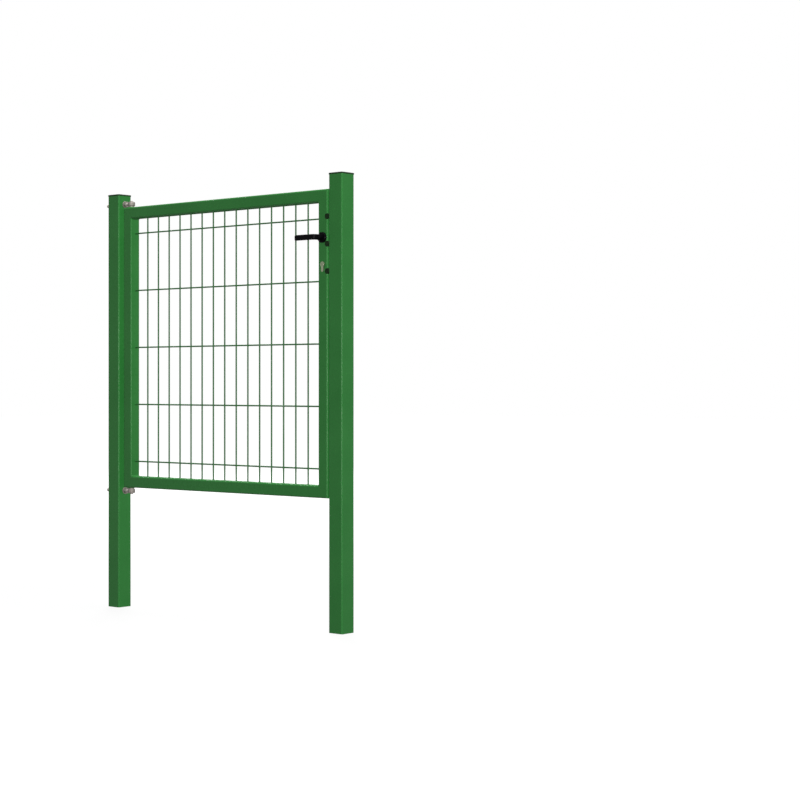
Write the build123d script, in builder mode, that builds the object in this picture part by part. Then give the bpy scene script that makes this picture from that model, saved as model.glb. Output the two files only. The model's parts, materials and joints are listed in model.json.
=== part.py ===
# Single-leaf garden gate: a welded wire mesh in a square-tube frame, hung on two eyebolts between
# two square posts, with a lever handle and a lock cylinder.
# Millimetres. The origin is the centre of the hinge post's foot, +Z is up, +X runs along the gate
# towards the latch post, and -Y is the front. The leaf swings open towards +Y.

from build123d import *
import os
from math import sqrt

# Posts
post_side = 58.0
post_wall = 2.0
post_corner = 5.5
foot_plate_thickness = 3.0
post_above_bolt = 35.5

# Post caps
cap_thickness = 5.0
cap_overhang = 1.5
cap_chamfer = 1.5
cap_skirt_depth = 12.0
cap_skirt_wall = 2.0
cap_skirt_play = 0.3

# Leaf and the gaps beside it
leaf_rise = 424.0
leaf_width = 978.0
leaf_height = 984.0
hinge_gap = 15.0
latch_gap = 13.5
frame_side = 40.0
frame_wall = 2.0
frame_corner = 5.0

# Welded mesh
wire_diameter = 5.0
wire_sides = 8
column_pitch = 55.0
row_pitch = 200.0
least_margin = 40.0
mesh_shift = 4.0
weld_sink = 0.4

# Hinge hardware
bolt_diameter = 12.0
bolt_hole_play = 0.5
bolt_tail = 34.0
bolt_chamfer = 1.5
eye_diameter = 25.0
eye_height = 14.0
eye_chamfer = 1.5
washer_diameter = 24.0
washer_thickness = 2.5
nut_across_flats = 19.0
nut_height = 10.0
nut_bore_play = 0.05
pin_diameter = 12.0
pin_play = 0.05
pin_beyond_eye = 4.0
pin_chamfer = 1.5
shoulder_diameter = 20.0
shoulder_height = 5.7
bearing_gap = 0.3

# Lever handle
handle_below_top = 154.0
rose_diameter = 34.0
rose_thickness = 7.0
rose_chamfer = 1.5
neck_diameter = 18.0
neck_play = 0.1
neck_inset = 1.0
neck_blend = 8.0
lever_length = 82.0
lever_standoff = 40.0
lever_bend = 12.0
lever_bend_run = 0.5
grip_height = 18.0
grip_thickness = 10.0
grip_end_chamfer = 1.5
spindle_side = 8.0
spindle_socket = 14.0
socket_play = 0.1
spindle_play = 0.8
spindle_hole = 22.0

# Lock
cylinder_drop = 85.0
cylinder_diameter = 17.0
cylinder_web = 10.0
cylinder_height = 33.0
cylinder_proud = 2.5
cylinder_play = 0.2
cylinder_cutout_play = 0.5
keyway_width = 2.0
keyway_height = 9.0
keyway_depth = 3.0
case_thickness = 16.0
case_back_gap = 2.0
case_over_spindle = 30.0
case_under_cylinder = 45.0
case_slot_play = 0.5
forend_width = 22.0
forend_thickness = 2.0
forend_over_case = 15.0
bolt_window_play = 0.3
bolt_pocket_play = 0.2
latch_bolt_width = 10.0
latch_bolt_height = 20.0
latch_bolt_length = 15.0
latch_bolt_bevel = 6.0
dead_bolt_width = 10.0
dead_bolt_height = 28.0
dead_bolt_length = 22.0
dead_bolt_drop = 42.0

# Strike plate and stop lugs on the latch post
strike_thickness = 2.0
strike_window_play = 2.0
stop_pitch = 87.0
stop_drop = 21.0
stop_height = 18.0
stop_thickness = 6.0
stop_reach = 4.0
stop_gap = 1.0
stop_foot_thickness = 4.0
stop_foot_height = 14.0
stop_to_strike = 2.0
stop_round_share = 0.45

# Least inside radius of a tube's corner
corner_least = 0.5

# Places that follow from the sizes
leaf_left = post_side / 2 + hinge_gap
leaf_right = leaf_left + leaf_width
leaf_bottom = leaf_rise
leaf_top = leaf_bottom + leaf_height
latch_post_face = leaf_right + latch_gap
latch_post_x = latch_post_face + post_side / 2
hinge_axis_x = leaf_left + frame_side / 2
stile_x = leaf_right - frame_side / 2
eye_rise = shoulder_height + bearing_gap + eye_height / 2
upper_eye_z = leaf_top + eye_rise
lower_eye_z = leaf_bottom - eye_rise
tube_top = upper_eye_z + post_above_bolt - cap_thickness
handle_z = leaf_top - handle_below_top
cylinder_z = handle_z - cylinder_drop
dead_bolt_z = handle_z - dead_bolt_drop
case_top = handle_z + case_over_spindle
case_bottom = cylinder_z - case_under_cylinder
case_depth = frame_side - frame_wall - case_back_gap
forend_top = case_top + forend_over_case
forend_bottom = case_bottom - forend_over_case
forend_face = leaf_right + forend_thickness
spindle_bore = spindle_side * sqrt(2) / 2 + spindle_play

os.makedirs("parts", exist_ok=True)


def finish(piece, name):
    """Label a finished piece and write it."""
    piece.part.label = name
    export_step(piece.part, f"parts/{name}.step")


def tube_profile(side, wall, corner):
    """Square tube section in the open sketch."""
    inside = side - 2 * wall
    RectangleRounded(side, side, corner)
    RectangleRounded(inside, inside, max(corner - wall, corner_least), mode=Mode.SUBTRACT)


def lock_profile(play, web_play):
    """Outline of the profile cylinder in the open sketch: a round over a narrower web."""
    web_width = cylinder_web + 2 * web_play
    web_bottom = cylinder_height - cylinder_diameter / 2 - web_width / 2 + play
    Circle(cylinder_diameter / 2 + play)
    with Locations((0, -web_bottom / 2)):
        Rectangle(web_width, web_bottom)
    with Locations((0, -web_bottom)):
        Circle(web_width / 2)


def bolt_windows(play, mode=Mode.ADD):
    """Outlines of the latch bolt and the dead bolt in the open sketch, with play all round."""
    for bolt_z, bolt_width, bolt_height in (
        (handle_z, latch_bolt_width, latch_bolt_height),
        (dead_bolt_z, dead_bolt_width, dead_bolt_height),
    ):
        with Locations((0, bolt_z)):
            Rectangle(bolt_width + 2 * play, bolt_height + 2 * play, mode=mode)


def facing_front(x, y, z):
    """Plane that looks out of the front, with its own up along +Z."""
    return Plane(origin=(x, y, z), x_dir=(1, 0, 0), z_dir=(0, -1, 0))


# Posts, each a tube on an end plate with a push-in cap
for post_name, post_x in (("hinge_post", 0.0), ("latch_post", latch_post_x)):
    with BuildPart() as post:
        with BuildSketch(Plane.XY.offset(foot_plate_thickness)):
            with Locations((post_x, 0)):
                tube_profile(post_side, post_wall, post_corner)
        extrude(amount=tube_top - foot_plate_thickness)
        if post_name == "hinge_post":
            for eye_z in (lower_eye_z, upper_eye_z):
                with BuildSketch(Plane.YZ.offset(-post_side / 2)):
                    with Locations((0, eye_z)):
                        Circle(bolt_diameter / 2 + bolt_hole_play)
                extrude(amount=post_side, mode=Mode.SUBTRACT)
        else:
            with BuildSketch(Plane.YZ.offset(latch_post_face)):
                bolt_windows(strike_window_play)
            extrude(amount=post_wall, mode=Mode.SUBTRACT)
    finish(post, post_name)

    with BuildPart() as foot_plate:
        with BuildSketch():
            with Locations((post_x, 0)):
                RectangleRounded(post_side, post_side, post_corner)
        extrude(amount=foot_plate_thickness)
    finish(foot_plate, f"{post_name}_foot_plate")

    with BuildPart() as cap:
        cap_side = post_side + 2 * cap_overhang
        with BuildSketch(Plane.XY.offset(tube_top)):
            with Locations((post_x, 0)):
                RectangleRounded(cap_side, cap_side, post_corner + cap_overhang)
        extrude(amount=cap_thickness)
        chamfer(cap.faces().sort_by(Axis.Z)[-1].edges(), length=cap_chamfer)
        with BuildSketch(Plane.XY.offset(tube_top)):
            with Locations((post_x, 0)):
                skirt_side = post_side - 2 * post_wall - 2 * cap_skirt_play
                tube_profile(skirt_side, cap_skirt_wall, max(post_corner - post_wall, corner_least))
        extrude(amount=-cap_skirt_depth)
    finish(cap, f"{post_name}_cap")

# Leaf frame: four tubes mitred at the corners
for rail_name, rail_z, inward in (
    ("bottom_rail", leaf_bottom + frame_side / 2, -1),
    ("top_rail", leaf_top - frame_side / 2, 1),
):
    outer_z = rail_z + inward * frame_side / 2
    with BuildPart() as rail:
        with BuildSketch(Plane.YZ.offset(leaf_left)):
            with Locations((0, rail_z)):
                tube_profile(frame_side, frame_wall, frame_corner)
        extrude(amount=leaf_width)
        for corner_x, keep_x in ((leaf_left, 1), (leaf_right, -1)):
            split(bisect_by=Plane(origin=(corner_x, 0, outer_z), z_dir=(keep_x, 0, inward)))
    finish(rail, rail_name)

with BuildPart() as hinge_stile:
    with BuildSketch(Plane.XY.offset(leaf_bottom)):
        with Locations((hinge_axis_x, 0)):
            tube_profile(frame_side, frame_wall, frame_corner)
    extrude(amount=leaf_height)
    for corner_z, keep_z in ((leaf_bottom, 1), (leaf_top, -1)):
        split(bisect_by=Plane(origin=(leaf_left, 0, corner_z), z_dir=(-1, 0, keep_z)))
finish(hinge_stile, "hinge_stile")

# The latch stile is cut for the spindle, the lock cylinder and the lock case
with BuildPart() as latch_stile:
    with BuildSketch(Plane.XY.offset(leaf_bottom)):
        with Locations((stile_x, 0)):
            tube_profile(frame_side, frame_wall, frame_corner)
    extrude(amount=leaf_height)
    for corner_z, keep_z in ((leaf_bottom, 1), (leaf_top, -1)):
        split(bisect_by=Plane(origin=(leaf_right, 0, corner_z), z_dir=(1, 0, keep_z)))
    with BuildSketch(facing_front(stile_x, 0, handle_z)):
        Circle(spindle_hole / 2)
    with BuildSketch(facing_front(stile_x, 0, cylinder_z)):
        lock_profile(cylinder_cutout_play, cylinder_cutout_play)
    extrude(amount=frame_side, both=True, mode=Mode.SUBTRACT)
    with BuildSketch(Plane.YZ.offset(leaf_right)):
        with Locations((0, (case_top + case_bottom) / 2)):
            Rectangle(
                case_thickness + 2 * case_slot_play,
                case_top - case_bottom + 2 * case_slot_play,
            )
    extrude(amount=-frame_wall, mode=Mode.SUBTRACT)
finish(latch_stile, "latch_stile")

# Welded mesh: upright wires in front of level wires, fused where they cross
opening_width = leaf_width - 2 * frame_side
opening_height = leaf_height - 2 * frame_side
columns = int((opening_width - 2 * least_margin) // column_pitch) + 1
rows = int((opening_height - 2 * least_margin) // row_pitch) + 1
mesh_x = leaf_left + leaf_width / 2 + mesh_shift
mesh_z = leaf_bottom + leaf_height / 2
wire_offset = (wire_diameter - weld_sink) / 2
with BuildPart() as mesh_panel:
    with BuildSketch(Plane.XY.offset(leaf_bottom + frame_side)):
        with Locations((mesh_x, -wire_offset)):
            with GridLocations(column_pitch, 0, columns, 1):
                RegularPolygon(wire_diameter / 2, wire_sides)
    extrude(amount=opening_height)
    with BuildSketch(Plane.YZ.offset(leaf_left + frame_side)):
        with Locations((wire_offset, mesh_z)):
            with GridLocations(0, row_pitch, 1, rows):
                RegularPolygon(wire_diameter / 2, wire_sides)
    extrude(amount=opening_width)
finish(mesh_panel, "mesh_panel")

# Hinges: an eyebolt clamped to the post by two nuts, and a shouldered pin on the leaf
for hinge_name, eye_z, edge_z, outward in (
    ("upper", upper_eye_z, leaf_top, 1),
    ("lower", lower_eye_z, leaf_bottom, -1),
):
    with BuildPart() as eyebolt:
        with BuildSketch(Plane.XY.offset(eye_z - eye_height / 2)):
            with Locations((hinge_axis_x, 0)):
                Circle(eye_diameter / 2)
        extrude(amount=eye_height)
        chamfer(eyebolt.edges().filter_by(GeomType.CIRCLE), length=eye_chamfer)
        with BuildSketch(Plane.YZ.offset(-post_side / 2 - bolt_tail)):
            with Locations((0, eye_z)):
                Circle(bolt_diameter / 2)
        extrude(amount=hinge_axis_x + post_side / 2 + bolt_tail)
        chamfer(eyebolt.faces().sort_by(Axis.X)[0].edges(), length=bolt_chamfer)
        with BuildSketch(Plane.XY.offset(eye_z - eye_height / 2)):
            with Locations((hinge_axis_x, 0)):
                Circle(pin_diameter / 2 + pin_play)
        extrude(amount=eye_height, mode=Mode.SUBTRACT)
    finish(eyebolt, f"{hinge_name}_eyebolt")

    for side_name, side in (("inner", 1), ("outer", -1)):
        with BuildPart() as washer:
            with BuildSketch(Plane.YZ.offset(side * post_side / 2)):
                with Locations((0, eye_z)):
                    Circle(washer_diameter / 2)
                    Circle(bolt_diameter / 2 + bolt_hole_play, mode=Mode.SUBTRACT)
            extrude(amount=side * washer_thickness)
        finish(washer, f"{hinge_name}_{side_name}_washer")

        with BuildPart() as nut:
            with BuildSketch(Plane.YZ.offset(side * (post_side / 2 + washer_thickness))):
                with Locations((0, eye_z)):
                    RegularPolygon(nut_across_flats / 2, 6, major_radius=False)
                    Circle(bolt_diameter / 2 + nut_bore_play, mode=Mode.SUBTRACT)
            extrude(amount=side * nut_height)
        finish(nut, f"{hinge_name}_{side_name}_nut")

    with BuildPart() as hinge_pin:
        with BuildSketch(Plane.XY.offset(edge_z)):
            with Locations((hinge_axis_x, 0)):
                Circle(shoulder_diameter / 2)
        extrude(amount=outward * shoulder_height)
        with BuildSketch(Plane.XY.offset(edge_z)):
            with Locations((hinge_axis_x, 0)):
                Circle(pin_diameter / 2)
        extrude(amount=outward * (eye_rise + eye_height / 2 + pin_beyond_eye))
        pin_end = hinge_pin.faces().sort_by(Axis.Z)[-1 if outward > 0 else 0]
        chamfer(pin_end.edges(), length=pin_chamfer)
    finish(hinge_pin, f"{hinge_name}_hinge_pin")

# Lock case inside the stile, bored for the spindle, the cylinder and the two bolts
with BuildPart() as lock_case:
    with BuildSketch(Plane.YZ.offset(leaf_right)):
        with Locations((0, (case_top + case_bottom) / 2)):
            Rectangle(case_thickness, case_top - case_bottom)
    extrude(amount=-case_depth)
    with BuildSketch(facing_front(stile_x, 0, handle_z)):
        Circle(spindle_bore)
    with BuildSketch(facing_front(stile_x, 0, cylinder_z)):
        lock_profile(cylinder_play, 0)
    extrude(amount=case_thickness, both=True, mode=Mode.SUBTRACT)
    for pocket_z, pocket_width, pocket_height, pocket_depth in (
        (handle_z, latch_bolt_width, latch_bolt_height, latch_bolt_length - forend_thickness),
        (dead_bolt_z, dead_bolt_width, dead_bolt_height, dead_bolt_length - forend_thickness),
    ):
        with BuildSketch(Plane.YZ.offset(leaf_right)):
            with Locations((0, pocket_z)):
                Rectangle(
                    pocket_width + 2 * bolt_pocket_play,
                    pocket_height + 2 * bolt_pocket_play,
                )
        extrude(amount=-pocket_depth, mode=Mode.SUBTRACT)
finish(lock_case, "lock_case")

with BuildPart() as latch_bolt:
    with BuildSketch(Plane.YZ.offset(forend_face)):
        with Locations((0, handle_z)):
            Rectangle(latch_bolt_width, latch_bolt_height)
    extrude(amount=-latch_bolt_length)
    nose = latch_bolt.faces().sort_by(Axis.X)[-1]
    closing_edge = nose.edges().sort_by(Axis.Y)[0]
    chamfer(closing_edge, length=latch_bolt_bevel)
finish(latch_bolt, "latch_bolt")

with BuildPart() as dead_bolt:
    with BuildSketch(Plane.YZ.offset(forend_face)):
        with Locations((0, dead_bolt_z)):
            Rectangle(dead_bolt_width, dead_bolt_height)
    extrude(amount=-dead_bolt_length)
finish(dead_bolt, "dead_bolt")

# Forend on the leaf's closing face and strike plate opposite it on the post
for plate_name, plate_x, plate_thickness, window_play in (
    ("lock_forend", leaf_right, forend_thickness, bolt_window_play),
    ("strike_plate", latch_post_face, -strike_thickness, strike_window_play),
):
    with BuildPart() as plate:
        with BuildSketch(Plane.YZ.offset(plate_x)):
            with Locations((0, (forend_top + forend_bottom) / 2)):
                SlotOverall(forend_top - forend_bottom, forend_width, rotation=90)
            bolt_windows(window_play, mode=Mode.SUBTRACT)
        extrude(amount=plate_thickness)
    finish(plate, plate_name)

with BuildPart() as lock_cylinder:
    with BuildSketch(facing_front(stile_x, 0, cylinder_z)):
        lock_profile(0, 0)
    extrude(amount=frame_side / 2 + cylinder_proud, both=True)
    for side in (-1, 1):
        with BuildSketch(facing_front(stile_x, side * (frame_side / 2 + cylinder_proud), cylinder_z)):
            Rectangle(keyway_width, keyway_height)
        extrude(amount=side * keyway_depth, mode=Mode.SUBTRACT)
finish(lock_cylinder, "lock_cylinder")

# Handle: a rose and a lever on each side, on one square spindle
neck_base = frame_side / 2 + neck_inset
grip_y = frame_side / 2 + lever_standoff
blend_end = grip_y - lever_bend - lever_bend_run
blend_start = blend_end - neck_blend
for side_name, side in (("front", -1), ("back", 1)):
    with BuildPart() as rose:
        with BuildSketch(facing_front(stile_x, side * frame_side / 2, handle_z)):
            Circle(rose_diameter / 2)
            Circle(neck_diameter / 2 + neck_play, mode=Mode.SUBTRACT)
        extrude(amount=-side * rose_thickness)
        outer_face = rose.faces().filter_by(Axis.Y).sort_by(Axis.Y)[0 if side < 0 else -1]
        outer_rim = outer_face.edges().filter_by(GeomType.CIRCLE).sort_by(SortBy.RADIUS)[-1]
        chamfer(outer_rim, length=rose_chamfer)
    finish(rose, f"{side_name}_rose")

    with BuildPart() as lever:
        with BuildSketch(facing_front(stile_x, side * neck_base, handle_z)):
            Circle(neck_diameter / 2)
        extrude(amount=-side * (blend_start - neck_base))
        with BuildSketch(facing_front(stile_x, side * blend_start, handle_z)):
            Circle(neck_diameter / 2)
        with BuildSketch(facing_front(stile_x, side * blend_end, handle_z)):
            SlotOverall(grip_height, grip_thickness, rotation=90)
        loft()
        with BuildLine(Plane.XY.offset(handle_z)) as grip_path:
            FilletPolyline(
                (stile_x, side * blend_end),
                (stile_x, side * grip_y),
                (stile_x - lever_length, side * grip_y),
                radius=lever_bend,
            )
        with BuildSketch(facing_front(stile_x, side * blend_end, handle_z)):
            SlotOverall(grip_height, grip_thickness, rotation=90)
        sweep()
        grip_end = lever.faces().sort_by(Axis.X)[0]
        chamfer(grip_end.edges(), length=grip_end_chamfer)
        with BuildSketch(facing_front(stile_x, side * neck_base, handle_z)):
            Rectangle(spindle_side + 2 * socket_play, spindle_side + 2 * socket_play)
        extrude(amount=-side * spindle_socket, mode=Mode.SUBTRACT)
    finish(lever, f"{side_name}_lever")

with BuildPart() as spindle:
    with BuildSketch(facing_front(stile_x, 0, handle_z)):
        Rectangle(spindle_side, spindle_side)
    extrude(amount=neck_base + spindle_socket, both=True)
finish(spindle, "spindle")

# Stop lugs: a foot on the post's inner face and a round-ended tongue in front of the closed leaf
stop_back = -frame_side / 2 - stop_gap
stop_foot_end = -forend_width / 2 - stop_to_strike
stop_width = latch_post_face - leaf_right + stop_reach
for stop_name, steps in (("upper", 1), ("middle", 0), ("lower", -1)):
    stop_z = handle_z - stop_drop + steps * stop_pitch
    with BuildPart() as stop_lug:
        with BuildSketch(facing_front(latch_post_face, stop_back, stop_z)):
            with Locations((-stop_width / 2, 0)):
                round_radius = stop_round_share * min(stop_width, stop_height)
                RectangleRounded(stop_width, stop_height, round_radius)
        extrude(amount=stop_thickness)
        with BuildSketch(facing_front(latch_post_face, stop_back, stop_z)):
            with Locations((-stop_foot_thickness / 2, 0)):
                Rectangle(stop_foot_thickness, stop_foot_height)
        extrude(amount=stop_back - stop_foot_end)
    finish(stop_lug, f"stop_lug_{stop_name}")
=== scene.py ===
"""Looks of the mesh garden gate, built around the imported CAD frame.

Metres, in the frame's own axes: +Z up, +X from the hinge post to the latch post, and
-Y the front.
"""

import json
import math

import bmesh
import bpy
from mathutils import Matrix, Vector


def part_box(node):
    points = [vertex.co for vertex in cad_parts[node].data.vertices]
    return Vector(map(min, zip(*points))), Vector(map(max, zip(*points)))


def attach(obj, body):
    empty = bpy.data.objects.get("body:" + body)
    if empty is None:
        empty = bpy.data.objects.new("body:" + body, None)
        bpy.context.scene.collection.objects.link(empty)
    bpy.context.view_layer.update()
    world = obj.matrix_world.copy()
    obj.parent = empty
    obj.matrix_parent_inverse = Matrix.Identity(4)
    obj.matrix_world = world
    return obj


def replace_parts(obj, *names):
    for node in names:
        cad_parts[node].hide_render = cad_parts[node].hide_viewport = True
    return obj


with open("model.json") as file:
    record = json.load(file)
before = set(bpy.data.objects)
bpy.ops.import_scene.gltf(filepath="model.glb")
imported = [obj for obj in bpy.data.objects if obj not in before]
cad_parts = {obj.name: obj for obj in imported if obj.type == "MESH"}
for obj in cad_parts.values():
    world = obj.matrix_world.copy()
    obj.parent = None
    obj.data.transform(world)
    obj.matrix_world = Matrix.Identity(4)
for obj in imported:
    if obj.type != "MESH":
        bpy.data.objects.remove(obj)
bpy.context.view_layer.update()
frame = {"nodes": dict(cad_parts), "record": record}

MM = 0.001
MICRON = 0.000001

# Sizes that the frame's boxes don't give
FRAME_SIDE = 40 * MM
FRAME_CORNER = 5 * MM
POST_WALL = 2 * MM
WIRE_RADIUS = 2.5 * MM
COLUMN_PITCH = 55 * MM
ROW_PITCH = 200 * MM
COLUMNS = 15
ROWS = 5
MESH_SHIFT = 4 * MM
BOLT_RADIUS = 6 * MM

# Weld beads and screw heads start this far inside what carries them
SINK = 0.1 * MM


# Node trees

# Most of a noise texture's values lie in this range
NOISE_LOW = 0.3
NOISE_HIGH = 0.7


class Nodes:
    """Adds nodes to a node tree and links them."""

    def __init__(self, tree):
        self.tree = tree

    def add(self, kind, inputs=None, **settings):
        node = self.tree.nodes.new(kind)
        for key, value in settings.items():
            setattr(node, key, value)
        for key, value in (inputs or {}).items():
            node.inputs[key].default_value = value
        return node

    def link(self, output, socket):
        self.tree.links.new(output, socket)

    def combine(self, operation, first, second, clamp=False):
        """One number worked out from two."""
        node = self.add("ShaderNodeMath", operation=operation, use_clamp=clamp)
        self.link(first, node.inputs[0])
        self.link(second, node.inputs[1])
        return node.outputs[0]

    def spread(
        self, value, low, high, from_low=NOISE_LOW, from_high=NOISE_HIGH, curve="LINEAR"
    ):
        """A value mapped to the range low to high."""
        node = self.add(
            "ShaderNodeMapRange",
            {
                "From Min": from_low,
                "From Max": from_high,
                "To Min": low,
                "To Max": high,
            },
            interpolation_type=curve,
        )
        self.link(value, node.inputs["Value"])
        return node.outputs["Result"]

    def seen_directly(self):
        """1 for camera, glossy and transmission rays, 0 for those that light things."""
        rays = self.add("ShaderNodeLightPath").outputs
        either = self.combine("MAXIMUM", rays["Is Camera Ray"], rays["Is Glossy Ray"])
        return self.combine("MAXIMUM", either, rays["Is Transmission Ray"])


class Surface(Nodes):
    """The nodes of one material, placed along the object's own axes."""

    def __init__(self, name):
        self.material = bpy.data.materials.new(name)
        self.material.use_nodes = True
        super().__init__(self.material.node_tree)
        self.shader = self.tree.nodes["Principled BSDF"]
        self.place = self.add("ShaderNodeTexCoord").outputs["Object"]

    def noise(self, scale, detail, roughness=0.5, stretch=(1, 1, 1)):
        """Noise from 0 to 1, scale in features per metre."""
        mapping = self.add("ShaderNodeMapping", {"Scale": stretch})
        self.link(self.place, mapping.inputs["Vector"])
        texture = self.add(
            "ShaderNodeTexNoise",
            {"Scale": scale, "Detail": detail, "Roughness": roughness},
        )
        self.link(mapping.outputs["Vector"], texture.inputs["Vector"])
        return texture.outputs["Fac"]

    def cells(self, scale):
        """Cell distance pattern, scale in cells per metre."""
        texture = self.add("ShaderNodeTexVoronoi", {"Scale": scale}, feature="F1")
        self.link(self.place, texture.inputs["Vector"])
        return texture.outputs["Distance"]

    def blend(self, value, dark, light):
        """A colour between two, by a noise's value."""
        node = self.add("ShaderNodeValToRGB")
        first, last = node.color_ramp.elements
        first.position, last.position = NOISE_LOW, NOISE_HIGH
        first.color, last.color = (*dark, 1), (*light, 1)
        self.link(value, node.inputs["Fac"])
        return node.outputs["Color"]

    def dull_at_grazing(self, roughness):
        """A roughness that rises to full where the surface is seen at a flat angle."""
        weight = self.add("ShaderNodeLayerWeight", {"Blend": 0.5})
        rise = self.spread(
            weight.outputs["Facing"], low=0.0, high=0.75, from_low=0.65, from_high=0.85
        )
        return self.combine("ADD", roughness, rise, clamp=True)

    def bump(self, height, distance, under=None):
        """A bump of that height in metres, on top of another bump."""
        node = self.add("ShaderNodeBump", {"Strength": 1.0, "Distance": distance})
        self.link(height, node.inputs["Height"])
        if under is not None:
            self.link(under, node.inputs["Normal"])
        return node.outputs["Normal"]

    def finish(self, colour, roughness, normal, metallic=0.0, specular=0.5):
        self.link(colour, self.shader.inputs["Base Color"])
        self.link(roughness, self.shader.inputs["Roughness"])
        self.link(normal, self.shader.inputs["Normal"])
        self.shader.inputs["Metallic"].default_value = metallic
        self.shader.inputs["Specular IOR Level"].default_value = specular
        return self.material


# Materials


def powder_coat(name, dark, light):
    """Satin powder coat: a fine orange peel over faint cloudy variation."""
    coat = Surface(name)
    colour = coat.blend(coat.noise(scale=9, detail=5, roughness=0.6), dark, light)
    satin = coat.spread(coat.noise(scale=60, detail=4), low=0.24, high=0.32)
    roughness = coat.dull_at_grazing(satin)
    peel = coat.bump(coat.noise(scale=420, detail=2), 35 * MICRON)
    grain = coat.bump(coat.noise(scale=2600, detail=1), 5 * MICRON, under=peel)
    return coat.finish(colour, roughness, grain, specular=0.12)


def zinc_plate(name, dark, light):
    """Zinc plating: a dull metal with warm and cool clouds and a fine-pitted skin."""
    zinc = Surface(name)
    colour = zinc.blend(zinc.noise(scale=160, detail=6, roughness=0.65), dark, light)
    roughness = zinc.spread(zinc.noise(scale=380, detail=5), low=0.55, high=0.72)
    skin = zinc.bump(zinc.noise(scale=2400, detail=3), 20 * MICRON)
    return zinc.finish(colour, roughness, skin, metallic=0.75)


def brushed_metal(name, dark, light, rough, along):
    """Metal brushed along Z; along is the scale of the strokes' noise in that axis."""
    metal = Surface(name)
    strokes = metal.noise(scale=2600, detail=3, roughness=0.7, stretch=(1, 1, along))
    colour = metal.blend(strokes, dark, light)
    roughness = metal.spread(strokes, low=rough - 0.07, high=rough + 0.1)
    scratch = metal.bump(strokes, 12 * MICRON)
    return metal.finish(colour, roughness, scratch, metallic=1.0)


def moulded_plastic(name, dark, light, rough, specular, cell_scale, cell_height):
    """Black moulded plastic with a spark-eroded grain."""
    plastic = Surface(name)
    colour = plastic.blend(plastic.noise(scale=45, detail=5), dark, light)
    satin = plastic.spread(
        plastic.noise(scale=240, detail=4), low=rough - 0.05, high=rough + 0.08
    )
    roughness = plastic.dull_at_grazing(satin)
    grain = plastic.bump(plastic.cells(cell_scale), cell_height)
    return plastic.finish(colour, roughness, grain, specular=specular)


def rubber(name, dark, light):
    """Soft black rubber with a dusty bloom."""
    skin = Surface(name)
    colour = skin.blend(skin.noise(scale=220, detail=5), dark, light)
    roughness = skin.spread(skin.noise(scale=500, detail=4), low=0.68, high=0.88)
    pits = skin.bump(skin.noise(scale=1500, detail=3), 30 * MICRON)
    return skin.finish(colour, roughness, pits, specular=0.05)


LOOKS = {
    "green_coat": (
        powder_coat,
        {"dark": (0.016, 0.119, 0.022), "light": (0.02, 0.132, 0.026)},
    ),
    "mesh_coat": (
        powder_coat,
        {"dark": (0.014, 0.078, 0.018), "light": (0.018, 0.09, 0.022)},
    ),
    "zinc": (
        zinc_plate,
        {"dark": (0.15, 0.135, 0.12), "light": (0.25, 0.225, 0.21)},
    ),
    "lock_steel": (
        brushed_metal,
        {
            "dark": (0.32, 0.32, 0.31),
            "light": (0.48, 0.48, 0.47),
            "rough": 0.3,
            "along": 0.03,
        },
    ),
    "nickel": (
        brushed_metal,
        {
            "dark": (0.17, 0.2, 0.13),
            "light": (0.26, 0.3, 0.2),
            "rough": 0.36,
            "along": 0.05,
        },
    ),
    "black_plastic": (
        moulded_plastic,
        {
            "dark": (0.008, 0.02, 0.008),
            "light": (0.014, 0.032, 0.014),
            "rough": 0.6,
            "specular": 0.05,
            "cell_scale": 1400,
            "cell_height": 20 * MICRON,
        },
    ),
    "lever_black": (
        moulded_plastic,
        {
            "dark": (0.001, 0.001, 0.0013),
            "light": (0.002, 0.0019, 0.0026),
            "rough": 0.3,
            "specular": 0.03,
            "cell_scale": 2600,
            "cell_height": 6 * MICRON,
        },
    ),
    "stop_rubber": (
        rubber,
        {"dark": (0.005, 0.013, 0.005), "light": (0.01, 0.022, 0.009)},
    ),
}

MATERIALS = {slot: make(slot, **look) for slot, (make, look) in LOOKS.items()}

for subpart in frame["record"]["subparts"]:
    node_materials = frame["nodes"][subpart["node"]].data.materials
    node_materials.clear()
    node_materials.append(MATERIALS[subpart["material_slot"]])


# Mesh helpers


def along_x(x, y, z, sign=1):
    """Place of a piece whose local +Z points along +X, or along -X for a sign of -1."""
    turn = Matrix.Rotation(math.radians(90 * sign), 4, "Y")
    return Matrix.Translation((x, y, z)) @ turn


def along_y(x, y, z, sign):
    """Place of a piece whose local +Z points along +Y, or along -Y for a sign of -1."""
    turn = Matrix.Rotation(math.radians(-90 * sign), 4, "X")
    return Matrix.Translation((x, y, z)) @ turn


def upright(x, y, z):
    """Place of a piece whose local +Z points up."""
    return Matrix.Translation((x, y, z))


def skin_rings(bm, rings, closed=False):
    """Quads between neighbouring rings of vertices, each ring closed on itself."""
    following = rings[1:] + rings[:1] if closed else rings[1:]
    for low, high in zip(rings, following):
        for i in range(len(low)):
            j = (i + 1) % len(low)
            bm.faces.new((low[i], low[j], high[j], high[i]))


def ring(bm, place, radius, height, steps):
    """Ring of vertices round the local Z axis.

    The radius and the height are each a number or a function of the angle.
    """
    made = []
    for step in range(steps):
        angle = math.tau * step / steps
        r = radius(angle) if callable(radius) else radius
        z = height(angle) if callable(height) else height
        point = Vector((r * math.cos(angle), r * math.sin(angle), z))
        made.append(bm.verts.new(place @ point))
    return made


def lathe(bm, place, profile, steps, closed=False, capped=False):
    """Surface turned round the local Z axis from a profile of (radius, height)."""
    rings = [ring(bm, place, radius, height, steps) for radius, height in profile]
    skin_rings(bm, rings, closed)
    if capped:
        bm.faces.new(list(reversed(rings[0])))
        bm.faces.new(rings[-1])
    return rings


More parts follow.
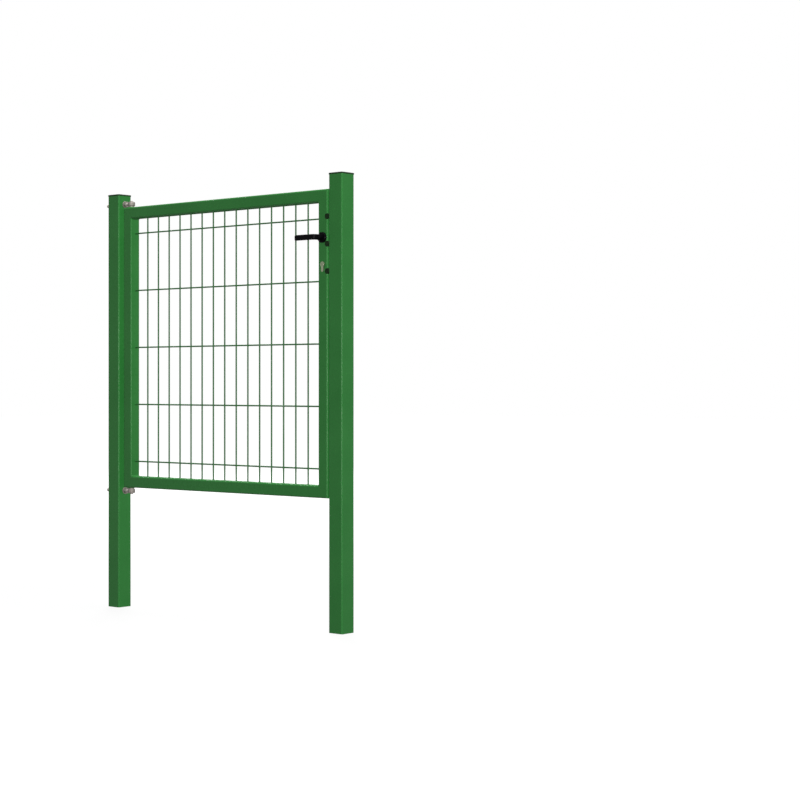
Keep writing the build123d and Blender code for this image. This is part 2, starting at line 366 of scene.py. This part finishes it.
def rounded_section(inner, outer, low, high, rounding, arc_steps):
    """Closed profile of a ring with a rectangular section and rounded edges."""
    corners = (
        (outer - rounding, low + rounding, -90),
        (outer - rounding, high - rounding, 0),
        (inner + rounding, high - rounding, 90),
        (inner + rounding, low + rounding, 180),
    )
    points = []
    for radius, height, start in corners:
        for step in range(arc_steps + 1):
            angle = math.radians(start + 90 * step / arc_steps)
            out, up = rounding * math.cos(angle), rounding * math.sin(angle)
            points.append((radius + out, height + up))
    return points


def make_piece(name, bm, slot, body, sharp_angle=35):
    """Turns a bmesh into a smooth-shaded piece that rides on a body."""
    bmesh.ops.recalc_face_normals(bm, faces=bm.faces)
    mesh = bpy.data.meshes.new(name)
    bm.to_mesh(mesh)
    bm.free()
    for polygon in mesh.polygons:
        polygon.use_smooth = True
    mesh.set_sharp_from_angle(angle=math.radians(sharp_angle))
    mesh.materials.append(MATERIALS[slot])
    piece = bpy.data.objects.new(name, mesh)
    bpy.context.scene.collection.objects.link(piece)
    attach(piece, body)
    return piece


def centre(node):
    low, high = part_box(node)
    return (low + high) / 2


# Welded mesh

WIRE_STEPS = 16
FOOT_HEIGHT = 2.4 * MM
FOOT_RADIUS = 3.7 * MM
FOOT_STEPS = 3
COLLAR_RADIUS = 3.1 * MM
COLLAR_DEPTH = 1.0 * MM
COLLAR_ROWS = 8
COLLAR_STEPS = 12


def spaced(middle, count, pitch):
    """Evenly spaced places on both sides of a middle."""
    return [middle + (i - (count - 1) / 2) * pitch for i in range(count)]


def wire_profile(length):
    """Straight wire whose radius flares into a weld foot at both ends."""
    flare = []
    for step in range(FOOT_STEPS + 1):
        turn = step / FOOT_STEPS * math.pi / 2
        radius = FOOT_RADIUS - (FOOT_RADIUS - WIRE_RADIUS) * math.sin(turn)
        flare.append((radius, FOOT_HEIGHT * (1 - math.cos(turn))))
    return flare + [(radius, length - height) for radius, height in reversed(flare)]


def build_collar(bm, x, z):
    """Flattened ball of squeezed metal where two wires cross."""
    flatten = Matrix.Diagonal((COLLAR_RADIUS, COLLAR_DEPTH, COLLAR_RADIUS, 1))
    place = upright(x, 0, z) @ flatten
    turns = [math.pi * row / COLLAR_ROWS for row in range(1, COLLAR_ROWS)]
    profile = [(math.sin(turn), math.cos(turn)) for turn in turns]
    rings = lathe(bm, place, profile, COLLAR_STEPS)
    for end, height in ((rings[0], 1), (rings[-1], -1)):
        pole = bm.verts.new(place @ Vector((0, 0, height)))
        for a, b in zip(end, end[1:] + end[:1]):
            bm.faces.new((a, b, pole))


def build_mesh():
    """Round wires, with squeezed collars at their crossings and feet at their ends."""
    low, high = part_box("mesh_panel")
    middle = centre("mesh_panel")
    wire_y = high.y - WIRE_RADIUS
    columns = spaced(middle.x + MESH_SHIFT, COLUMNS, COLUMN_PITCH)
    rows = spaced(middle.z, ROWS, ROW_PITCH)
    bm = bmesh.new()
    for x in columns:
        profile = wire_profile(high.z - low.z)
        lathe(bm, upright(x, -wire_y, low.z), profile, WIRE_STEPS, capped=True)
    for z in rows:
        profile = wire_profile(high.x - low.x)
        lathe(bm, along_x(low.x, wire_y, z), profile, WIRE_STEPS, capped=True)
    for x in columns:
        for z in rows:
            build_collar(bm, x, z)
    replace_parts(make_piece("wire_mesh", bm, "mesh_coat", "leaf"), "mesh_panel")


# Hinge hardware

THREAD_PITCH = 1.75 * MM
THREAD_DEPTH = 0.85 * MM
THREAD_ROWS = 8
FLANK_SLOPE = 1.25
CREST_WIDTH = 0.12
TIP_RADIUS = 4.4 * MM
SHANK_STEPS = 36

EYE_BORE = 6.05 * MM
EYE_ROUNDING = 1.8 * MM
EYE_STEPS = 64
NECK_BEFORE_EYE = 3 * MM
NECK_IN_EYE = 2 * MM
NECK_FLARE = 1.3 * MM
NECK_SHARES = (0, 0.35, 0.7, 1)

NUT_FLATS = 19 * MM
NUT_FACE_SHARE = 0.97
NUT_CHAMFER = math.radians(30)
NUT_ENTRY = 0.8 * MM
NUT_PLAY = 0.02 * MM
NUT_STEPS = 72

WASHER_PLAY = 0.5 * MM
WASHER_ROUNDING = 0.5 * MM
WASHER_STEPS = 48

PIN_BEAD = 2.4 * MM
PIN_BEAD_SHARES = (0, 0.25, 0.5, 0.75, 1)
PIN_RIPPLES = 17
PIN_RIPPLE_DEPTH = 0.1
PIN_BEAD_STEPS = 102


def thread(x, limit):
    """Radius of the screw thread at a place on the bolt, as a function of the angle."""

    def radius(angle):
        phase = (x / THREAD_PITCH - angle / math.tau) % 1.0
        flank = abs(2 * phase - 1)
        cut = min(1, max(0, FLANK_SLOPE * flank - CREST_WIDTH))
        return min(limit, BOLT_RADIUS - THREAD_DEPTH * cut)

    return radius


def build_eyebolt(level):
    """Forged eye on a threaded shank, in place of the plain CAD eyebolt.

    The shank has no thread turns inside the post, where they can't be seen.
    """
    node = f"{level}_eyebolt"
    low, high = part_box(node)
    eye_radius = (high.y - low.y) / 2
    eye_x = high.x - eye_radius
    eye_z = (low.z + high.z) / 2
    half_height = (high.z - low.z) / 2
    bm = bmesh.new()
    eye = rounded_section(
        EYE_BORE, eye_radius, -half_height, half_height, EYE_ROUNDING, arc_steps=4
    )
    lathe(bm, upright(eye_x, 0, eye_z), eye, EYE_STEPS, closed=True)

    post_low, post_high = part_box("hinge_post")
    hidden_start, hidden_end = post_low.x + POST_WALL, post_high.x - POST_WALL
    neck_start = eye_x - eye_radius - NECK_BEFORE_EYE
    neck_length = NECK_BEFORE_EYE + NECK_IN_EYE
    neck_radius = BOLT_RADIUS - THREAD_DEPTH / 2
    row_step = THREAD_PITCH / THREAD_ROWS
    shank = []
    x = low.x
    while x < neck_start:
        if hidden_start < x < hidden_end:
            x = hidden_end
        from_tip = x - low.x
        shank.append((thread(x, TIP_RADIUS + from_tip), from_tip))
        x += row_step
    for share in NECK_SHARES:
        height = neck_start + row_step + neck_length * share - low.x
        shank.append((neck_radius + NECK_FLARE * share * share, height))
    lathe(bm, along_x(low.x, 0, eye_z), shank, SHANK_STEPS, capped=True)
    name = f"{level}_threaded_eyebolt"
    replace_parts(make_piece(name, bm, "zinc", "root", sharp_angle=50), node)


def build_nut(level, side_name):
    """Hexagon nut, chamfered on both faces, in place of the plain CAD nut."""
    node = f"{level}_{side_name}_nut"
    low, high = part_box(node)
    middle = centre(node)
    height = high.x - low.x
    flat_radius = NUT_FLATS / 2
    face_radius = NUT_FACE_SHARE * flat_radius
    bore = BOLT_RADIUS + NUT_PLAY

    def edge(angle):
        """Radius of the hexagon's edge."""
        turned = (angle + math.pi / 6) % (math.pi / 3) - math.pi / 6
        return flat_radius / math.cos(turned)

    def drop(angle):
        """How far below the nut's face the chamfer's cone meets that edge."""
        return (edge(angle) - face_radius) * math.tan(NUT_CHAMFER)

    profile = [
        (bore, NUT_ENTRY),
        (bore + NUT_ENTRY, 0),
        (face_radius, 0),
        (edge, drop),
        (edge, lambda angle: height - drop(angle)),
        (face_radius, height),
        (bore + NUT_ENTRY, height),
        (bore, height - NUT_ENTRY),
    ]
    bm = bmesh.new()
    lathe(bm, along_x(low.x, middle.y, middle.z), profile, NUT_STEPS, closed=True)
    name = f"{level}_{side_name}_hex_nut"
    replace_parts(make_piece(name, bm, "zinc", "root", sharp_angle=25), node)


def build_washer(level, side_name):
    """Flat washer with the rounded edge of a stamped one."""
    node = f"{level}_{side_name}_washer"
    low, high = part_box(node)
    middle = centre(node)
    bore = BOLT_RADIUS + WASHER_PLAY
    radius = (high.y - low.y) / 2
    profile = rounded_section(
        bore, radius, 0, high.x - low.x, WASHER_ROUNDING, arc_steps=3
    )
    bm = bmesh.new()
    lathe(bm, along_x(low.x, middle.y, middle.z), profile, WASHER_STEPS, closed=True)
    name = f"{level}_{side_name}_flat_washer"
    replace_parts(make_piece(name, bm, "zinc", "root"), node)


def build_pin_weld(level, outward):
    """Rippled weld bead that joins the hinge pin's shoulder to the frame."""
    low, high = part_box(f"{level}_hinge_pin")
    shoulder = (high.x - low.x) / 2
    base_z = low.z if outward > 0 else high.z

    def bead_radius(turn):
        """Radius of the bead's skin, as a function of the angle round the pin."""

        def radius(angle):
            ripple = 1 + PIN_RIPPLE_DEPTH * math.sin(PIN_RIPPLES * angle)
            return shoulder + PIN_BEAD * ripple * math.cos(turn) - SINK

        return radius

    profile = []
    for share in PIN_BEAD_SHARES:
        turn = share * math.pi / 2
        profile.append((bead_radius(turn), outward * PIN_BEAD * math.sin(turn)))
    bm = bmesh.new()
    lathe(bm, upright((low.x + high.x) / 2, 0, base_z), profile, PIN_BEAD_STEPS)
    make_piece(f"{level}_pin_weld", bm, "green_coat", "leaf", sharp_angle=60)


# Weld beads of the frame

SEAM_HALF_WIDTH = 1.6 * MM
SEAM_HEIGHT = 0.16 * MM
SEAM_STEPS = 56
BEAD_HALF_WIDTH = 2.6 * MM
BEAD_HEIGHT = 0.9 * MM
BEAD_STEPS = 64
BEAD_SECTION_STEPS = 6
BEAD_FADE_STEPS = 2
RIPPLE_PITCH = 2.2 * MM
RIPPLE_DEPTH = 0.15


def sweep_bead(bm, start, end, steps, normal, across, half_width, height):
    """Rippled bead with a lens-shaped section, which fades out at both ends."""
    length = (end - start).length
    rows = []
    for index in range(steps + 1):
        point = start.lerp(end, index / steps)
        wave = math.cos(math.tau * length * index / steps / RIPPLE_PITCH)
        ripple = 1 - RIPPLE_DEPTH + RIPPLE_DEPTH * wave
        fade = min(1, index / BEAD_FADE_STEPS, (steps - index) / BEAD_FADE_STEPS)
        row = []
        for step in range(BEAD_SECTION_STEPS + 1):
            share = -1 + 2 * step / BEAD_SECTION_STEPS
            lift = height * (1 - share * share) * ripple * fade
            place = point + across * (share * half_width) + normal * lift
            row.append(bm.verts.new(place))
        rows.append(row)
    for low, high in zip(rows, rows[1:]):
        for i in range(BEAD_SECTION_STEPS):
            bm.faces.new((low[i], low[i + 1], high[i + 1], high[i]))


def build_corner_welds(bm, corner, inward_x, inward_z):
    """Ground mitre seams on both faces, and a rippled bead in the inner corner."""
    inward = Vector((inward_x, 0, inward_z))
    across = Vector((inward_x, 0, -inward_z)).normalized()
    for side in (-1, 1):
        normal = Vector((0, side, 0))
        face = corner + normal * FRAME_SIDE / 2
        start = face + inward * FRAME_CORNER
        end = face + inward * FRAME_SIDE
        sweep_bead(
            bm, start, end, SEAM_STEPS, normal, across, SEAM_HALF_WIDTH, SEAM_HEIGHT
        )
    lean = inward.normalized()
    middle = corner + inward * FRAME_SIDE + lean * (BEAD_HALF_WIDTH - SINK)
    half_run = Vector((0, FRAME_SIDE / 2 - FRAME_CORNER, 0))
    start, end = middle - half_run, middle + half_run
    sweep_bead(bm, start, end, BEAD_STEPS, lean, across, BEAD_HALF_WIDTH, BEAD_HEIGHT)


def build_frame_welds():
    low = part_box("hinge_stile")[0]
    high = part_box("latch_stile")[1]
    bm = bmesh.new()
    for x, inward_x in ((low.x, 1), (high.x, -1)):
        for z, inward_z in ((low.z, 1), (high.z, -1)):
            build_corner_welds(bm, Vector((x, 0, z)), inward_x, inward_z)
    make_piece("frame_welds", bm, "green_coat", "leaf", sharp_angle=70)


# Lock details

HEAD_STEPS = 40
PLATE_SCREW_RADIUS = 3.4 * MM
PLATE_SCREW_HEIGHT = 1.1 * MM
PLATE_SCREW_INSET = 8 * MM
CYLINDER_SCREW_DROP = 2 * MM
LUG_SCREW_RADIUS = 2.6 * MM
LUG_SCREW_HEIGHT = 1.2 * MM
LUG_SCREW_INSET = 4 * MM
LUG_FOOT_THICKNESS = 4 * MM

# A screw head's outline and its cross, as shares of its radius and height
SCREW_OUTLINE = ((1, 0.12), (0.93, 0.55), (0.8, 0.85), (0.62, 1))
CROSS_ARM_SHARE = 0.5
CROSS_HALF_WIDTH_SHARE = 0.13
CROSS_DEPTH_SHARE = 0.75

PLUG_RADIUS = 6.4 * MM
PLUG_SINK = 0.2 * MM
PLUG_HEIGHT = 0.6 * MM
PLUG_EDGE_HEIGHT = 0.35 * MM
PLUG_BEVEL = 0.3 * MM
KEY_SLOT_DEPTH = 0.8 * MM
KEY_HALF_WIDTH = 1.0 * MM
KEY_HALF_HEIGHT = 4.2 * MM
KEY_WARD_HALF_WIDTH = 0.45 * MM


def fill_between(bm, outer, inner):
    """Flat face between an outer ring and an inner loop of vertices."""
    edges = []
    for loop in (outer, inner):
        for a, b in zip(loop, loop[1:] + loop[:1]):
            edges.append(bm.edges.get((a, b)) or bm.edges.new((a, b)))
    bmesh.ops.triangle_fill(bm, use_beauty=True, use_dissolve=False, edges=edges)


def recessed_disc(bm, place, profile, outline, depth, floor):
    """Turned head whose flat top is cut by a recess with the given outline."""
    rings = lathe(bm, place, profile, HEAD_STEPS)
    top = profile[-1][1]
    rim = [bm.verts.new(place @ Vector((x, y, top))) for x, y in outline]
    foot = [bm.verts.new(place @ Vector((x, y, top - depth))) for x, y in outline]
    fill_between(bm, rings[-1], rim)
    skin_rings(bm, [rim, foot])
    if floor:
        bm.faces.new(foot)


def cross_outline(arm, half_width):
    """Outline of a cross recess."""
    quarter = ((half_width, half_width), (half_width, arm), (-half_width, arm))
    points = []
    for c, s in ((1, 0), (0, 1), (-1, 0), (0, -1)):
        points += [(c * x - s * y, s * x + c * y) for x, y in quarter]
    return points


def build_screw(bm, place, radius, height):
    """Raised screw head with a cross recess."""
    profile = [(radius, -SINK)]
    profile += [(out * radius, up * height) for out, up in SCREW_OUTLINE]
    cross = cross_outline(CROSS_ARM_SHARE * radius, CROSS_HALF_WIDTH_SHARE * radius)
    recessed_disc(bm, place, profile, cross, CROSS_DEPTH_SHARE * height, floor=True)


def build_screws():
    """Screws of the forend, the strike plate and the stop lugs."""
    low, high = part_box("lock_forend")
    top, bottom = high.z - PLATE_SCREW_INSET, low.z + PLATE_SCREW_INSET
    cylinder_screw = centre("lock_cylinder").z - CYLINDER_SCREW_DROP
    bm = bmesh.new()
    for z in (bottom, top, cylinder_screw):
        place = along_x(high.x, 0, z)
        build_screw(bm, place, PLATE_SCREW_RADIUS, PLATE_SCREW_HEIGHT)
    make_piece("forend_screws", bm, "zinc", "leaf", sharp_angle=30)

    low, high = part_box("strike_plate")
    bm = bmesh.new()
    for z in (low.z + PLATE_SCREW_INSET, high.z - PLATE_SCREW_INSET):
        place = along_x(low.x, 0, z, sign=-1)
        build_screw(bm, place, PLATE_SCREW_RADIUS, PLATE_SCREW_HEIGHT)
    for name in ("upper", "middle", "lower"):
        low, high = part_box(f"stop_lug_{name}")
        foot_x = high.x - LUG_FOOT_THICKNESS
        place = along_x(foot_x, high.y - LUG_SCREW_INSET, (low.z + high.z) / 2, sign=-1)
        build_screw(bm, place, LUG_SCREW_RADIUS, LUG_SCREW_HEIGHT)
    make_piece("post_screws", bm, "zinc", "root", sharp_angle=30)


def build_plugs():
    """The cylinder's turning plugs: a thin raised disc with a key slot on each face."""
    low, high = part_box("lock_cylinder")
    plug_x = (low.x + high.x) / 2
    plug_z = high.z - (high.x - low.x) / 2
    key_slot = [
        (-KEY_HALF_WIDTH, -KEY_HALF_HEIGHT),
        (KEY_HALF_WIDTH, -KEY_HALF_HEIGHT),
        (KEY_HALF_WIDTH, -0.4 * KEY_HALF_HEIGHT),
        (KEY_WARD_HALF_WIDTH, -0.3 * KEY_HALF_HEIGHT),
        (KEY_WARD_HALF_WIDTH, 0.1 * KEY_HALF_HEIGHT),
        (KEY_HALF_WIDTH, 0.2 * KEY_HALF_HEIGHT),
        (KEY_HALF_WIDTH, KEY_HALF_HEIGHT),
        (-KEY_HALF_WIDTH, KEY_HALF_HEIGHT),
        (-KEY_HALF_WIDTH, 0.5 * KEY_HALF_HEIGHT),
        (-KEY_WARD_HALF_WIDTH, 0.4 * KEY_HALF_HEIGHT),
        (-KEY_WARD_HALF_WIDTH, -0.05 * KEY_HALF_HEIGHT),
        (-KEY_HALF_WIDTH, -0.15 * KEY_HALF_HEIGHT),
    ]
    profile = [
        (PLUG_RADIUS, -PLUG_SINK),
        (PLUG_RADIUS, PLUG_EDGE_HEIGHT),
        (PLUG_RADIUS - PLUG_BEVEL, PLUG_HEIGHT),
    ]
    bm = bmesh.new()
    for side, face_y in ((-1, low.y), (1, high.y)):
        place = along_y(plug_x, face_y, plug_z, side)
        recessed_disc(bm, place, profile, key_slot, KEY_SLOT_DEPTH, floor=False)
    make_piece("cylinder_plugs", bm, "nickel", "leaf", sharp_angle=30)


build_mesh()
for level, outward in (("upper", 1), ("lower", -1)):
    build_eyebolt(level)
    build_pin_weld(level, outward)
    for side_name in ("inner", "outer"):
        build_nut(level, side_name)
        build_washer(level, side_name)
build_frame_welds()
build_screws()
build_plugs()


# Stage, light and camera

WHITE = (1, 1, 1, 1)
WORLD_LIGHT = 0.06
FLOOR_SIZE = 60
FLOOR_MIDDLE = (0.5, 0, 0)
FLOOR_GREY = (0.12, 0.12, 0.12, 1)

# The floor's glow rises from this to white between these distances
NEAR_GLOW = 0.78
NEAR_FLOOR = 1.0
FAR_FLOOR = 5.0

# What the lamps face
GATE_MIDDLE = (0.53, 0, 0.85)

# Camera, as fitted to the photograph's frame of 800 by 800
CAMERA_PLACE = (4.9841, -4.2894, 0.7916)
CAMERA_YAW = math.radians(40.59)
SENSOR_WIDTH = 36.0
PHOTO_WIDTH = 800
FOCAL_PIXELS = 1833.7
HORIZON_PIXELS_OVER_CENTRE = 17.17
VIEW_DEPTH = 200


def build_floor():
    """Pale floor that shows white to the camera and keeps the object's shadow."""
    bpy.ops.mesh.primitive_plane_add(size=FLOOR_SIZE, location=FLOOR_MIDDLE)
    floor = bpy.context.object
    floor.name = "studio_floor"
    surface = Surface("studio_floor")
    surface.shader.inputs["Base Color"].default_value = FLOOR_GREY
    surface.shader.inputs["Roughness"].default_value = 1.0
    surface.shader.inputs["Specular IOR Level"].default_value = 0.0
    distance = surface.add("ShaderNodeVectorMath", operation="LENGTH")
    surface.link(surface.place, distance.inputs[0])
    fade = surface.spread(
        distance.outputs["Value"],
        low=NEAR_GLOW,
        high=1.0,
        from_low=NEAR_FLOOR,
        from_high=FAR_FLOOR,
        curve="SMOOTHSTEP",
    )
    strength = surface.combine("MULTIPLY", surface.seen_directly(), fade)
    glow = surface.add("ShaderNodeEmission")
    surface.link(strength, glow.inputs["Strength"])
    both = surface.add("ShaderNodeAddShader")
    surface.link(surface.shader.outputs[0], both.inputs[0])
    surface.link(glow.outputs[0], both.inputs[1])
    output = surface.tree.nodes["Material Output"]
    surface.link(both.outputs[0], output.inputs["Surface"])
    floor.data.materials.append(surface.material)


def build_world():
    """White to the eye; for lighting, an even and dim dome."""
    world = bpy.data.worlds.new("studio")
    bpy.context.scene.world = world
    world.use_nodes = True
    sky = Nodes(world.node_tree)
    lit = sky.tree.nodes["Background"]
    lit.inputs["Color"].default_value = WHITE
    lit.inputs["Strength"].default_value = WORLD_LIGHT
    shown = sky.add("ShaderNodeBackground", {"Color": WHITE, "Strength": 1.0})
    mix = sky.add("ShaderNodeMixShader")
    sky.link(sky.seen_directly(), mix.inputs[0])
    sky.link(lit.outputs[0], mix.inputs[1])
    sky.link(shown.outputs[0], mix.inputs[2])
    sky.link(mix.outputs[0], sky.tree.nodes["World Output"].inputs["Surface"])


def build_lamp(name, place, size, power, shadow=True):
    """Soft box: a rectangular area lamp that faces the gate."""
    data = bpy.data.lights.new(name, "AREA")
    data.shape = "RECTANGLE"
    data.size, data.size_y = size
    data.energy = power
    data.use_shadow = shadow
    lamp = bpy.data.objects.new(name, data)
    lamp.location = place
    lamp.rotation_mode = "QUATERNION"
    view = Vector(GATE_MIDDLE) - Vector(place)
    lamp.rotation_quaternion = view.to_track_quat("-Z", "Y")
    bpy.context.scene.collection.objects.link(lamp)


def build_camera():
    data = bpy.data.cameras.new("photo_camera")
    data.sensor_width = SENSOR_WIDTH
    data.lens = FOCAL_PIXELS / PHOTO_WIDTH * SENSOR_WIDTH
    data.shift_y = -HORIZON_PIXELS_OVER_CENTRE / PHOTO_WIDTH
    data.clip_end = VIEW_DEPTH
    camera = bpy.data.objects.new("photo_camera", data)
    camera.location = CAMERA_PLACE
    camera.rotation_euler = (math.radians(90), 0, CAMERA_YAW)
    bpy.context.scene.collection.objects.link(camera)
    bpy.context.scene.camera = camera


build_floor()
build_world()
build_lamp("key", place=(4.4, -1.4, 8.8), size=(2.5, 2.5), power=1350, shadow=False)
build_lamp("front", place=(8.5, -7.7, 0.85), size=(0.6, 0.6), power=760)
build_lamp("top", place=(0.5, 0.6, 6.0), size=(3.0, 2.0), power=130)
build_lamp("back", place=(-6.5, 6.5, 4.0), size=(4.0, 4.0), power=750)
build_camera()
bpy.context.scene.view_settings.view_transform = "Standard"
